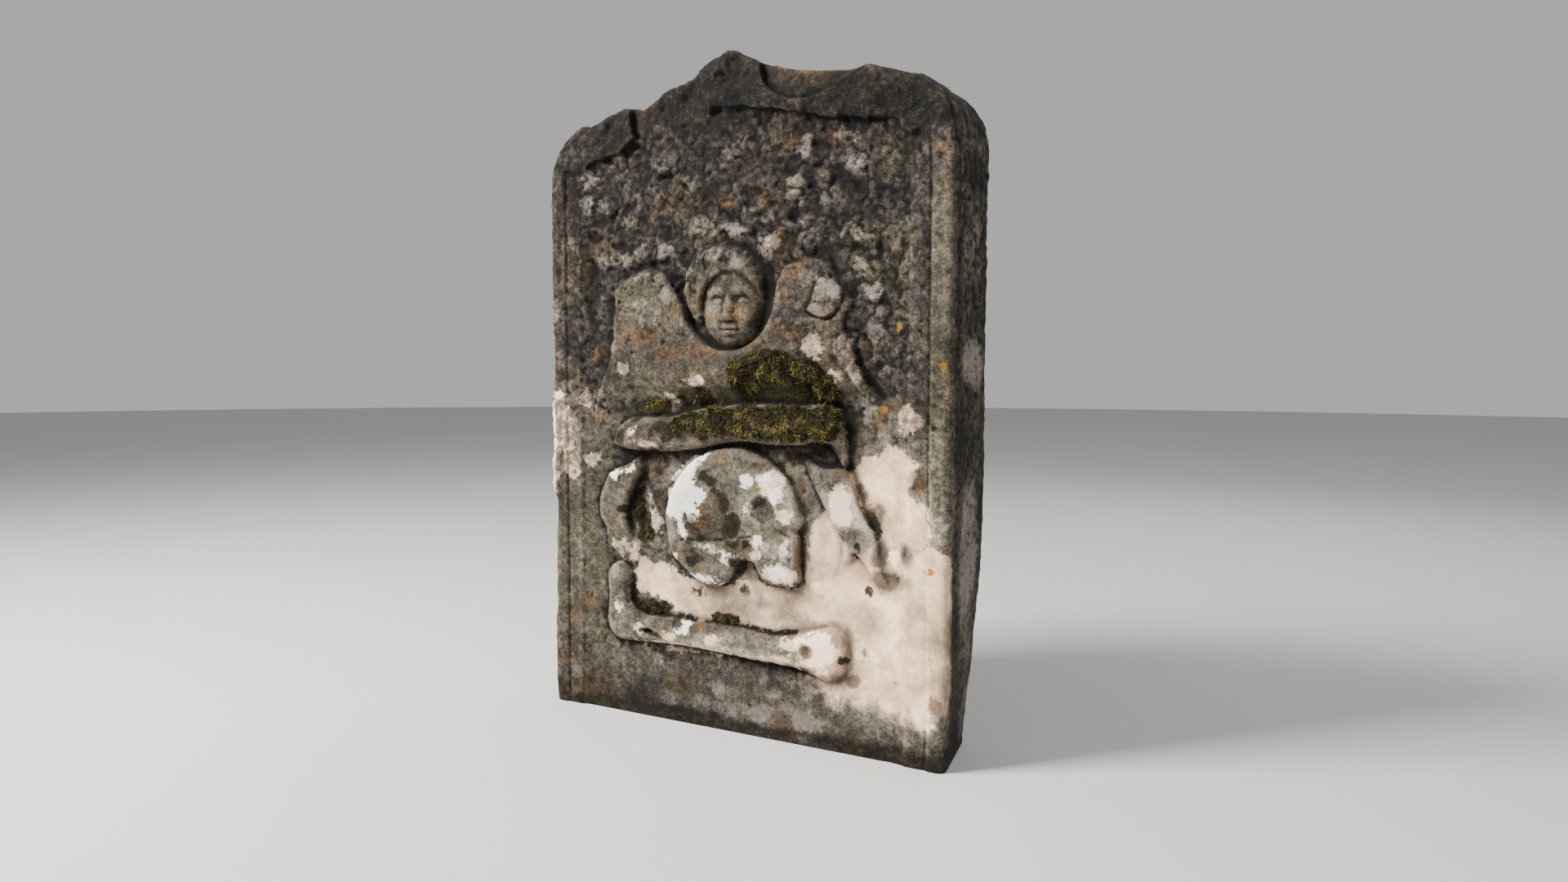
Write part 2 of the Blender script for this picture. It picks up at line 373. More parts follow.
BROWN_PATCHES = [
    (32, 566, 6, 24), (-14, 306, 14, 15), (-27, 312, 8, 9), (-62, 264, 8, 7), (-30, 266, 12, 6),
    (-50, 262, 12, 6), (47, 351, 8, 8), (75, 272, 15, 6), (18, 249, 15, 7), (-60, 232, 13, 8),
    (-158, 285, 14, 26), (-150, 322, 8, 18), (-152, 249, 12, 9), (-128, 328, 8, 6), (-120, 300, 8, 18),
    (110, 121, 10, 8, -45), (229, 98, 7, 5), (185, 128, 6, 5), (-150, 25, 26, 16), (76, 14, 15, 24),
    (-84, 50, 28, 12), (-232, 26, 36, 18), (-215, 52, 16, 10), (28, 92, 16, 7), (-195, 267, 8, 6),
    (156, 350, 8, 9), (-20, 353, 10, 5), (236, 10, 50, 14), (207, 300, 8, 14), (218, 222, 18, 14),
    (-288, 468, 16, 8), (-283, 352, 4, 9), (-286, 336, 7, 6), (225, 432, 9, 8), (97, 318, 6, 24),
    (243, 257, 7, 12), (262, 343, 8, 11), (203, 244, 4, 14), (187, 320, 5, 15, 28),
    (196, 300, 6, 12, 30), (283, 80, 10, 12), (-250, 138, 22, 6), (-100, 404, 22, 5, 35),
    (95, 402, 10, 6), (-280, 345, 6, 9), (-276, 312, 12, 7), (-285, 20, 20, 16), (-142, 362, 10, 8),
    (-120, 10, 30, 12), (-60, 8, 30, 8), (172, 92, 8, 8), (92, 366, 20, 8), (98, 240, 5, 28),
]
CHARCOAL_PATCHES = [
    (205, 805, 100, 34), (2, 842, 58, 36), (-200, 798, 50, 28), (243, 738, 8, 10), (270, 765, 34, 28),
    (-90, 822, 34, 22), (-5, 640, 20, 5), (190, 778, 12, 5), (173, 531, 12, 9), (-226, 560, 10, 34),
    (208, 446, 7, 9), (151, 549, 4, 6),
]
DARK_PATCHES = [
    (-42, 336, 7, 7), (-31, 330, 10, 8), (2, 274, 11, 15), (-7, 268, 9, 9), (-53, 343, 2, 8, -20),
    (-60, 252, 8, 4), (-46, 254, 9, 4), (-62, 221, 9, 6), (-50, 228, 7, 6, 40), (-80, 210, 13, 4, -35),
    (0, 227, 5, 4), (-8, 304, 6, 12), (-18, 314, 7, 6), (-160, 280, 10, 14), (-150, 266, 10, 9),
    (-150, 249, 9, 8), (-178, 284, 6, 5), (-140, 153, 24, 7), (-116, 152, 10, 7), (-20, 151, 14, 4),
    (-89, 135, 9, 5), (-112, 402, 15, 6, 35), (-94, 392, 15, 5, 45), (-158, 405, 12, 5, 30),
    (-177, 388, 13, 7, 40), (-240, 628, 6, 20), (-130, 118, 13, 4, -14), (-213, 132, 4, 13, 20),
    (179, 260, 6, 6), (-124, 366, 6, 4), (192, 206, 4, 4), (-58, 178, 9, 4), (13, 188, 5, 6),
    (200, 291, 7, 5, -50), (206, 277, 5, 7), (162, 114, 6, 5), (-120, 338, 9, 5), (243, 738, 7, 9),
    (0, 250, 6, 4), (22, 253, 7, 4), (-238, 6, 30, 7), (-57, 5, 60, 6), (-190, 6, 20, 7),
    (190, 6, 40, 7), (-150, 425, 10, 4), (40, 438, 76, 6),
]
MOSS_STAINS = [
    (75, 476, 58, 18), (55, 448, 112, 8), (-58, 444, 24, 8), (-128, 428, 12, 4), (45, 410, 116, 20),
    (145, 410, 12, 18), (-158, 284, 6, 12), (-60, 414, 30, 8),
]
ORANGE_SPOTS = [
    (212, 428, 6, 5), (290, 479, 5, 5), (-15, 360, 3, 5), (39, 324, 5, 3), (-43, 215, 6, 4, -50),
    (-55, 207, 4, 3), (276, 241, 9, 5), (262, 330, 3, 5), (232, 526, 3, 4),
]
CLEAN_PATCHES = [
    (44, 298, 20, 20), (113, 122, 14, 14), (180, 110, 30, 50), (112, 260, 14, 60), (134, 372, 22, 10),
    (100, 800, 150, 20), (-172, 356, 22, 8), (10, 212, 20, 18), (76, 202, 44, 7), (-159, 176, 16, 14),
    (-106, 161, 22, 6), (-110, 330, 6, 30), (-146, 300, 16, 60), (-124, 260, 30, 30),
    (200, 300, 26, 60), (96, 310, 14, 40), (-280, 378, 30, 60), (-19, 792, 14, 10), (-194, 388, 10, 22),
]
GREEN_PATCHES = [
    (276, 312, 9, 24), (283, 400, 12, 40), (135, 832, 40, 14), (-155, 575, 30, 28), (280, 470, 12, 20),
    (-290, 770, 14, 14), (200, 600, 28, 24), (-170, 640, 24, 16), (50, 850, 14, 8), (-10, 430, 90, 8),
    (-140, 450, 50, 12),
]

# Large odd numbers that stir a cell's place and a seed into a random number
CELL_FACTORS = np.array((374761393, 668265263, 2147483629))
SEED_FACTOR, MIX_FACTOR = 97531, 1274126177

# The camera, its turns in degrees, and the studio
CAMERA_PLACE = (0.7311, -1.2256, 0.4709)
CAMERA_YAW, CAMERA_PITCH, CAMERA_ROLL = -29.26, 3.60, 0.17
LENS_MM, FILM_MM = 24.44, 36.0
FLOOR_RADIUS, FLOOR_COLOUR = 14.0, (0.50, 0.50, 0.49, 1.0)
AIR_COLOUR, AIR_LIGHT = (0.80, 0.80, 0.80, 1.0), 0.60
LIGHTS = [
    # name, place, aim, size, power, colour
    ("key_light", (-1.5, -1.5, 2.3), (0, 0, 0.45), 0.9, 310, (1.0, 0.965, 0.92)),
    ("fill_light", (2.4, -1.6, 1.2), (0, 0, 0.4), 2.0, 32, (1.0, 1.0, 1.0)),
    ("back_light", (0.6, 2.4, 2.2), (0, 0, 0.5), 1.6, 30, (1.0, 1.0, 1.0)),
]


def ease(low, high, value):
    """0 at low, 1 at high, with a smooth start and end; low may be the greater of the two."""
    share = np.clip((value - low) / (high - low), 0.0, 1.0)
    return share * share * (3.0 - 2.0 * share)


def hashed(cells, seed):
    """A fixed random number from 0 to 1 for each whole-numbered cell."""
    mixed = (cells @ CELL_FACTORS + seed * SEED_FACTOR) & 0xFFFFFFFF
    mixed = ((mixed ^ (mixed >> 13)) * MIX_FACTOR) & 0xFFFFFFFF
    return ((mixed ^ (mixed >> 16)) & 0xFFFFFF) / 0xFFFFFF


def soft_noise(points, size, seed, octaves=1):
    """Smooth noise from -1 to 1, its lumps about size across, with finer octaves laid over."""
    total = np.zeros(len(points))
    strength = 1.0
    for octave in range(octaves):
        scaled = points / size + 31.7 * (octave + 1)
        cell = np.floor(scaled).astype(np.int64)
        part = scaled - cell
        part = part * part * (3 - 2 * part)
        for corner in itertools.product((0, 1), repeat=3):
            share = np.prod(np.where(corner, part, 1 - part), axis=1)
            total += strength * share * (2 * hashed(cell + corner, seed + octave) - 1)
        strength *= 0.5
        size *= 0.5
    return total


def middles_near(points, size, seed):
    """Space is cut into cells of a size, each with a middle at a random place in it. For each of the
    27 cells round every point: which cell it is, and how far its middle lies as a share of size."""
    scaled = points / size
    home = np.floor(scaled).astype(np.int64)
    for step in itertools.product((-1, 0, 1), repeat=3):
        cell = home + step
        middle = cell + np.stack([hashed(cell, seed + k) for k in (1, 2, 3)], axis=1)
        yield cell, np.linalg.norm(scaled - middle, axis=1)


def nearest_middle(points, size, seed):
    """How far the nearest cell's middle is, as a share of size, and that cell's random number."""
    nearest = np.full(len(points), 9.0)
    owner = np.zeros(len(points))
    for cell, far in middles_near(points, size, seed):
        closer = far < nearest
        nearest[closer] = far[closer]
        owner[closer] = hashed(cell[closer], seed + 4)
    return nearest, owner


def knobs(points, size, seed):
    """Scattered round knobs of mixed size: how high they stand, 0 to 1, and each one's random
    number."""
    height = np.zeros(len(points))
    owner = hashed(np.floor(points / size).astype(np.int64), seed)
    for cell, far in middles_near(points, size, seed):
        reach = 0.40 + 0.60 * hashed(cell, seed + 4)
        rise = (1 - (far / reach) ** 2) * (0.40 + 0.60 * hashed(cell, seed + 5))
        higher = rise > height
        height[higher] = rise[higher]
        owner[higher] = hashed(cell[higher], seed + 6)
    return height, owner


def face_place(points):
    """The x and z of each point in millimetres."""
    return points[:, 0] * 1000, points[:, 2] * 1000


def soft_paint(points, base, strokes):
    """A value painted on the carved face with soft round strokes, each laid over the last."""
    value = np.full(len(points), float(base))
    x, z = face_place(points)
    for cx, cz, wide, high, strength in strokes:
        share = ease(1.35, 0.65, np.hypot((x - cx) / wide, (z - cz) / high))
        value += (strength - value) * share
    return value


def patch_depth(points, patches):
    """How far inside the nearest patch's edge a point lies, in centimetres; less than 0 outside."""
    depth = np.full(len(points), -FAR_OUT)
    x, z = face_place(points)
    for cx, cz, wide, high, *tilt in patches:
        along = math.radians(tilt[0]) if tilt else 0.0
        across = (x - cx) * math.cos(along) + (z - cz) * math.sin(along)
        upward = (z - cz) * math.cos(along) - (x - cx) * math.sin(along)
        reach = np.hypot(across / wide, upward / high)
        depth = np.maximum(depth, (1.0 - reach) * min(wide, high) / 10)
    return depth


def line_distance(points, run):
    """How far each point lies from the nearest part of a run, in millimetres."""
    x, z = face_place(points)
    near = np.full(len(points), 1e9)
    for (ax, az), (bx, bz) in zip(run, run[1:]):
        share = ((x - ax) * (bx - ax) + (z - az) * (bz - az)) / ((bx - ax) ** 2 + (bz - az) ** 2)
        share = np.clip(share, 0, 1)
        near = np.minimum(near, np.hypot(x - ax - share * (bx - ax), z - az - share * (bz - az)))
    return near


def region_depth(points, outline):
    """How far inside the outline a point lies, in centimetres; less than 0 outside."""
    x, z = face_place(points)
    closed = outline + outline[:1]
    near = line_distance(points, closed)
    inside = np.zeros(len(points), bool)
    for (ax, az), (bx, bz) in zip(closed, closed[1:]):
        if az != bz:
            inside ^= ((az > z) != (bz > z)) & (x < (bx - ax) * (z - az) / (bz - az) + ax)
    return np.clip(np.where(inside, near, -near) / 10, -FAR_OUT, FAR_OUT)


def vertex_vectors(obj, kind):
    """Three numbers of one kind for each of an object's vertices."""
    flat = np.zeros(len(obj.data.vertices) * 3, np.float32)
    obj.data.vertices.foreach_get(kind, flat)
    return flat.reshape(-1, 3).astype(float)


def points_of(obj):
    """The places of an object's vertices."""
    return vertex_vectors(obj, "co")


def normals_of(obj):
    """The directions an object's vertices face."""
    return vertex_vectors(obj, "normal")


def move_points(obj, points):
    """Moves an object's vertices to new places."""
    obj.data.vertices.foreach_set("co", points.astype(np.float32).ravel())
    obj.data.update()


def choose(obj):
    """Selects one object alone and makes it the one that operators work on."""
    bpy.ops.object.select_all(action="DESELECT")
    obj.select_set(True)
    bpy.context.view_layer.objects.active = obj


def finish_with(obj, kind, **settings):
    """Adds a modifier with its settings and applies it."""
    choose(obj)
    modifier = obj.modifiers.new(kind.lower(), kind)
    for name, value in settings.items():
        setattr(modifier, name, value)
    bpy.ops.object.modifier_apply(modifier=modifier.name)


def smooth_shading(obj):
    """Shades an object's faces as one smooth skin."""
    choose(obj)
    bpy.ops.object.shade_smooth()


def at_front(points):
    """1 at the depths of the carved figures and their ground, 0 further back."""
    return ease(*FRONT_DEPTHS, points[:, 1])


def at_face(points):
    """1 on the carved face and its figures, 0 on the sides and the back."""
    return at_front(points) * ease(*FACE_EDGE, np.abs(points[:, 0]))


def by_side_edge(points):
    """1 at the outer few millimetres of both sides, 0 further in."""
    return ease(*SIDE_EDGE, np.abs(points[:, 0]))


def at_painted_face(points):
    """Like at_face, but growths and stains also wrap a few millimetres round the side edges."""
    inner = at_front(points)
    return inner + (ease(*WRAPPED_DEPTHS, points[:, 1]) - inner) * by_side_edge(points)


def turned_forward(points, normals):
    """1 where a carved figure faces forward, 0 on its steep sides and behind it."""
    return ease(-0.25, -0.60, normals[:, 1]) * ease(*FIGURE_DEPTHS, points[:, 1])


def crust_amount(points):
    """How thickly the crust grows at each point, 0 to 1."""
    front = at_face(points)
    back = ease(*BACK_DEPTHS, points[:, 1])
    painted = soft_paint(points, CRUST_BASE, CRUST_STROKES)
    high = ease(0.05, 0.75, points[:, 2])
    around = np.where(points[:, 0] > 0, 0.30 + 0.5 * high, 0.30 + 0.35 * high)
    hidden = 0.20 + 0.35 * high
    rest = around + (hidden - around) * back
    return rest + (painted - rest) * front


def crust_height(points):
    """The crust's height in metres, the random number of each knob and how high it stands."""
    amount = crust_amount(points)
    bent = points + 0.007 * np.stack([soft_noise(points, 0.020, s, 3) for s in (11, 12, 13)], axis=1)
    knob, owner = knobs(bent, KNOB_SIZE, 40)
    small, _ = knobs(bent, SMALL_KNOB_SIZE, 60)
    patchy = ease(-0.35, 0.35, soft_noise(points, 0.060, 21, 2))
    rough = soft_noise(points, 0.0075, 31, 3)
    front = at_face(points)
    strong = ease(0.30, 0.85, amount) * (0.35 + 0.65 * front)
    raised = ease(-0.2, 0.7, patch_depth(bent, GREY_PATCHES))
    raised -= ease(-0.2, 0.7, patch_depth(bent, SHADE_PATCHES))
    height = (
        KNOB_HEIGHT * strong * (0.30 + 0.70 * patchy) * (knob - KNOB_LEVEL)
        + BLOTCH_HEIGHT * strong * front * raised
        + SMALL_KNOB_HEIGHT * amount * (small - KNOB_LEVEL)
        + ROUGH_HEIGHT * (0.10 + amount) * rough
    )
    return height, owner, knob


def relaxed(obj, points, rounds):
    """The vertices' places after each has moved to the middle of its neighbours some times."""
    ends = np.zeros(len(obj.data.edges) * 2, np.int64)
    obj.data.edges.foreach_get("vertices", ends)
    a, b = ends.reshape(-1, 2).T
    count = np.bincount(a, minlength=len(points)) + np.bincount(b, minlength=len(points))
    count = np.maximum(count, 1)
    for _ in range(rounds):
        near = np.empty_like(points)
        for axis in range(3):
            near[:, axis] = np.bincount(a, points[b, axis], len(points))
            near[:, axis] += np.bincount(b, points[a, axis], len(points))
        points = 0.5 * points + 0.5 * near / count[:, None]
    return points


def flatten_foot(obj):
    """Presses the underside flat again after smoothing."""
    points = points_of(obj)
    points[points[:, 2] < FLAT_BELOW, 2] = 0.0
    move_points(obj, points)


def carve_details(obj):
    """Raises and sinks the flaked plates, and cuts the fine lines."""
    points, normals = points_of(obj), normals_of(obj)
    near = ease(-0.15, -0.45, normals[:, 1]) * at_face(points)
    deeper = np.zeros(len(points))
    for height, edge, outline in PLATES:
        inside = 10 * region_depth(points, outline)
        deeper -= height * ease(-edge / 2, edge / 2, inside)
    for depth, half_width, run in LINES:
        deeper += depth * np.exp(-((line_distance(points, run) / half_width) ** 2))
    points[:, 1] += near * deeper / 1000
    move_points(obj, points)


def wear_edges(obj):
    """Rounds the carving off where it has worn the most."""
    points = points_of(obj)
    soft = relaxed(obj, points, WEAR_ROUNDS)
    worn = np.zeros(len(points))
    x, z = face_place(points)
    for cx, cz, wide, high, strength in WORN_PLACES:
        reach = np.hypot((x - cx) / wide, (z - cz) / high)
        worn = np.maximum(worn, strength * ease(1.0, 0.6, reach))
    worn *= at_face(points)
    move_points(obj, points + (soft - points) * worn[:, None])


def weather_stone(obj):
    """Raises the lichen crust and eats pits into the stone, along the way each point faces."""
    points, normals = points_of(obj), normals_of(obj)
    height, _, _ = crust_height(points)
    amount = crust_amount(points)
    pit_far, pit_share = nearest_middle(points, PIT_SIZE, 80)
    pit = ease(0.22, 0.05, pit_far) * ease(0.45, 0.8, pit_share) * ease(0.10, 0.5, amount)
    wave = WAVE_HEIGHT * soft_noise(points, 0.045, 91, 2) * (0.25 + amount)
    height += wave - PIT_DEPTH * pit

    # The relief is lower where the stone faces up, and fades out at the ground
    height *= 1 - 0.55 * ease(0.25, 0.75, normals[:, 2])
    height *= ease(0.0, 0.012, points[:, 2])
    moved = points + normals * height[:, None]
    foot = points[:, 2] < FIXED_BELOW
    moved[foot] = points[foot]
    moved[:, 2] = np.maximum(moved[:, 2], 0.0)
    move_points(obj, moved)


def bump(u, v, place, size):
    """A soft round hill, 1 high, at a place and of a size that are both pairs."""
    return np.exp(-(((u - place[0]) / size[0]) ** 2) - ((v - place[1]) / size[1]) ** 2)


def carve_face(obj):
    """Cuts the face's features deeper and crisper than the solid has them."""
    points, normals = points_of(obj), normals_of(obj)
    u = (points[:, 0] - HEAD_PLACE[0]) / HEAD_SIZE[0]
    v = (points[:, 2] - HEAD_PLACE[1]) / HEAD_SIZE[1]
    near = ease(1.02, 0.86, np.hypot(u, v)) * turned_forward(points, normals)
    deeper = np.zeros(len(points))
    for depth, place, size in FACE_CUTS:
        deeper += depth * bump(np.abs(u) if place[0] else u, v, place, size)
    nose_run = ease(0.30, 0.10, v) * ease(-0.42, -0.33, v)
    nose_width = 0.085 + 0.075 * ease(0.10, -0.30, v)
    deeper -= (0.0010 + 0.0016 * ease(0.2, -0.3, v)) * nose_run * np.exp(-((u / nose_width) ** 2))
    points[:, 1] += near * deeper
    move_points(obj, points)


def comb_hair(obj):
    """Parts the cap of hair into worn wavy locks that sweep round the face."""
    points, normals = points_of(obj), normals_of(obj)
    flat = points[:, [0, 2]]
    in_cap = np.hypot(*((flat - HAIR_PLACE) / HAIR_SIZE).T)
    off_face = np.hypot(*((flat - HEAD_PLACE) / HEAD_SIZE).T)
    near = ease(1.04, 0.95, in_cap) * ease(1.0, 1.10, off_face) * turned_forward(points, normals)
    x, z = (flat - HEAD_PLACE).T
    far = np.hypot(x, z)
    sweep = HAIR_LOCKS * np.arctan2(z, x) + far / LOCK_WAVE + 1.6 * soft_noise(points, 0.022, 71, 2)
    strands = np.sin(3.1 * sweep + 2.0 * np.sin(far / STRAND_WAVE))
    points[:, 1] -= near * (LOCK_DEPTH * np.sin(sweep) + STRAND_DEPTH * strands)
    move_points(obj, points)


def make_stone():
    """The dressed stone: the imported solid's own form, weathered."""
    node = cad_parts["headstone"]
    obj = bpy.data.objects.new("weathered_headstone", node.data.copy())
    bpy.context.scene.collection.objects.link(obj)
    obj.data.materials.clear()
    choose(obj)
    bpy.ops.object.mode_set(mode="EDIT")
    bpy.ops.mesh.select_all(action="SELECT")
    bpy.ops.mesh.remove_doubles(threshold=0.00002)
    bpy.ops.object.mode_set(mode="OBJECT")
    finish_with(obj, "REMESH", mode="VOXEL", voxel_size=STONE_CELL, adaptivity=0.0)
    finish_with(obj, "SMOOTH", factor=0.5, iterations=SMOOTH_ROUNDS)
    flatten_foot(obj)
    wear_edges(obj)
    carve_face(obj)
    comb_hair(obj)
    carve_details(obj)
    weather_stone(obj)
    triangles = sum(len(p.vertices) - 2 for p in obj.data.polygons)
    finish_with(obj, "DECIMATE", ratio=min(1.0, STONE_TRIANGLES / triangles))
    smooth_shading(obj)
    return obj


def keep_value(obj, name, values):
    """Keeps one number a vertex on the mesh, for its material to read."""
    layer = obj.data.attributes.new(name, "FLOAT", "POINT")
    layer.data.foreach_set("value", np.asarray(values, np.float32))


def paint_tone(points, front, on_right, spots):
    """How light or dark the stone is: painted on the face and the right side, streaked elsewhere."""
    tone = 0.30 + 0.12 * soft_noise(points, 0.12, 5, 2)
    tone += 0.20 * ease(0.52, 0.66, spots) - 0.10 * ease(0.10, 0.0, points[:, 2])
    right_tone = soft_paint(points[:, [1, 0, 2]], SIDE_TONE_BASE, SIDE_TONE_STROKES)
    tone += (right_tone - tone) * on_right
    tone += 0.09 * soft_noise(points * (1.0, 1.0, 0.12), 0.010, 7, 2)
    return tone + (soft_paint(points, TONE_BASE, TONE_STROKES) - tone) * front


def paint_stone(obj):
    """Keeps on the stone's mesh where each growth and stain lies."""
    points, normals = points_of(obj), normals_of(obj)
    front = at_painted_face(points)
    on_right = ease(*RIGHT_EDGE, points[:, 0]) * (1 - ease(*BACK_EDGE_DEPTHS, points[:, 1]))
    _, owner, lump = crust_height(points)

    # Round lichens on the hidden sides, fewer where the stone faces up
    spots, _ = knobs(points + 0.006 * soft_noise(points, 0.015, 8, 2)[:, None], SPOT_SIZE, 90)
    spots *= 1 - 0.4 * ease(0.3, 0.8, normals[:, 2])
    grime = np.zeros(len(points))
    for half_width, strength, run in GRIME:
        grime = np.maximum(grime, strength * np.exp(-((line_distance(points, run) / half_width) ** 2)))

    # Off the carved face a patch ends, but it may run on a little way round the side edges
    off = -FAR_OUT * (1.0 - front)
    past_edge = -PATCH_FADE * np.maximum(points[:, 1] - PATCH_END, 0)
    off = np.maximum(off + (past_edge - off) * by_side_edge(points), -FAR_OUT)
    kept = {
        "crust": crust_amount(points),
        "rosette": owner,
        "lump": lump,
        "crevice": ((relaxed(obj, points, 4) - points) * normals).sum(axis=1) * 1000,
        "hollow": ((relaxed(obj, points, 40) - points) * normals).sum(axis=1) * 1000,
        "tone": paint_tone(points, front, on_right, spots),
        "carved": front,
        "warmth": soft_paint(points, WARMTH_BASE, WARMTH_STROKES),
        "olive": soft_paint(points, OLIVE_BASE, OLIVE_STROKES),
        "grime": grime * front,
        "bare": np.where(front > 0.02, region_depth(points, BARE_OUTLINE) + off, -FAR_OUT),
    }
    for name, patches, outlines in (
        ("white", WHITE_PATCHES, WHITE_OUTLINES),
        ("cream", CREAM_PATCHES, CREAM_OUTLINES),
        ("lilac", LILAC_PATCHES, ()),
        ("brown", BROWN_PATCHES, ()),
        ("grey", GREY_PATCHES, ()),
        ("tan", TAN_PATCHES, ()),
        ("charcoal", CHARCOAL_PATCHES, ()),
        ("dark", DARK_PATCHES, ()),
        ("moss", MOSS_STAINS, ()),
        ("orange", ORANGE_SPOTS, ()),
        ("green", GREEN_PATCHES, ()),
        ("shade", SHADE_PATCHES, ()),
        ("clean", CLEAN_PATCHES, ()),
    ):
        depth = patch_depth(points, patches)
        for outline in outlines:
            depth = np.maximum(depth, region_depth(points, outline))
        kept[name] = depth + off

    # Pale lichens on the right side, and the round ones
    on_side = patch_depth(points[:, [1, 0, 2]], SIDE_LILAC_PATCHES) - FAR_OUT * (1 - on_right)
    round_ones = 2.4 * (spots - SPOT_LEVEL) - FAR_OUT * on_right
    kept["lilac"] = np.maximum(kept["lilac"], np.maximum(on_side, round_ones) - FAR_OUT * front)
    for name, values in kept.items():
        keep_value(obj, name, values)


class Recipe:
    """A material's nodes, wired from its patterns up to its surface."""

    def __init__(self, name):
        self.material = bpy.data.materials.new(name)
        self.material.use_nodes = True
        self.nodes = self.material.node_tree.nodes
        self.links = self.material.node_tree.links
        self.surface = self.nodes["Principled BSDF"]
        self.place = self.nodes.new("ShaderNodeTexCoord").outputs["Object"]

    def node(self, kind, inputs, **settings):
        """A new node, its inputs linked to other nodes or set to plain values."""
        made = self.nodes.new("ShaderNode" + kind)
        for name, value in settings.items():
            setattr(made, name, value)
        for name, value in inputs.items():
            if isinstance(value, bpy.types.NodeSocket):
                self.links.new(value, made.inputs[name])
            elif value is not None:
                made.inputs[name].default_value = value
        return made

    def kept(self, name):
        """A number kept on the mesh."""
        return self.node("Attribute", {}, attribute_name=name).outputs["Fac"]

    def noise(self, size, detail=4.0, roughness=0.55, distortion=0.0, place=None):
        """Cloudy noise about 0.5, its clouds about size across."""
        inputs = {"Vector": place or self.place, "Scale": 1.0 / size, "Detail": detail}
        inputs.update({"Roughness": roughness, "Distortion": distortion})
        return self.node("TexNoise", inputs).outputs["Fac"]

    def stretched(self, across, through, up):
        """Object coordinates scaled along each axis."""
        inputs = {"Vector": self.place, "Scale": (across, through, up)}
        return self.node("Mapping", inputs).outputs["Vector"]

    def calc(self, operation, first, second):
        """One sum of two values."""
        return self.node("Math", {0: first, 1: second}, operation=operation).outputs[0]

    def times(self, first, second):
        """Two values multiplied."""
        return self.calc("MULTIPLY", first, second)

    def rise(self, value, low, high, to_low=0.0, to_high=1.0):
        """Goes smoothly from one number to the other as value goes from low to high."""
        inputs = {"Value": value, "From Min": low, "From Max": high}
        inputs.update({"To Min": to_low, "To Max": to_high})
        return self.node("MapRange", inputs, interpolation_type="SMOOTHSTEP").outputs["Result"]

    def about(self, value, strength):
        """A value about 0.5 made one about 0, from minus half the strength to plus half."""
        made = self.node("Math", {0: value, 1: strength, 2: -0.5 * strength}, operation="MULTIPLY_ADD")
        return made.outputs[0]

    def total(self, values):
        """All the values added up."""
        result = values[0]
        for value in values[1:]:
            result = self.calc("ADD", result, value)
        return result

    def height_up(self):
        """How high a point lies above the ground, in metres."""
        return self.node("SeparateXYZ", {"Vector": self.place}).outputs["Z"]

    def over(self, share, under, top, way="MIX"):
        """The top colour laid over the under colour by its share."""
        made = self.node("Mix", {}, data_type="RGBA", blend_type=way)
        for index, value in ((0, share), (6, under), (7, top)):
            if isinstance(value, bpy.types.NodeSocket):
                self.links.new(value, made.inputs[index])
            elif index:
                made.inputs[index].default_value = (*value, 1.0)
            else:
                made.inputs[index].default_value = value
        return made.outputs[2]

    def shades(self, value, stops):
        """Colours along a scale from 0 to 1."""
        made = self.node("ValToRGB", {"Fac": value})
        elements = made.color_ramp.elements
        while len(elements) < len(stops):
            elements.new(0.5)
        for element, (place, colour) in zip(elements, stops):
            element.position = place
            element.color = (*colour, 1.0)
        return made.outputs["Color"]

    def patch(self, name, ragged, width=0.10, level=0.0):
        """Where a patch lies, its edge broken up by the ragged noise."""
        edge = self.calc("ADD", self.kept(name), ragged)
        return self.rise(edge, level - width, level + width)

    def finish(self, colour, roughness, height, depth):
        """Wires the surface, with a height pattern for its grain of the depth given in metres."""
        self.links.new(colour, self.surface.inputs["Base Color"])
        if isinstance(roughness, float):
            self.surface.inputs["Roughness"].default_value = roughness
        else:
            self.links.new(roughness, self.surface.inputs["Roughness"])
        inputs = {"Height": height, "Distance": depth, "Strength": 1.0}
        self.links.new(self.node("Bump", inputs).outputs["Normal"], self.surface.inputs["Normal"])
        self.surface.inputs["Specular IOR Level"].default_value = 0.25
        return self.material


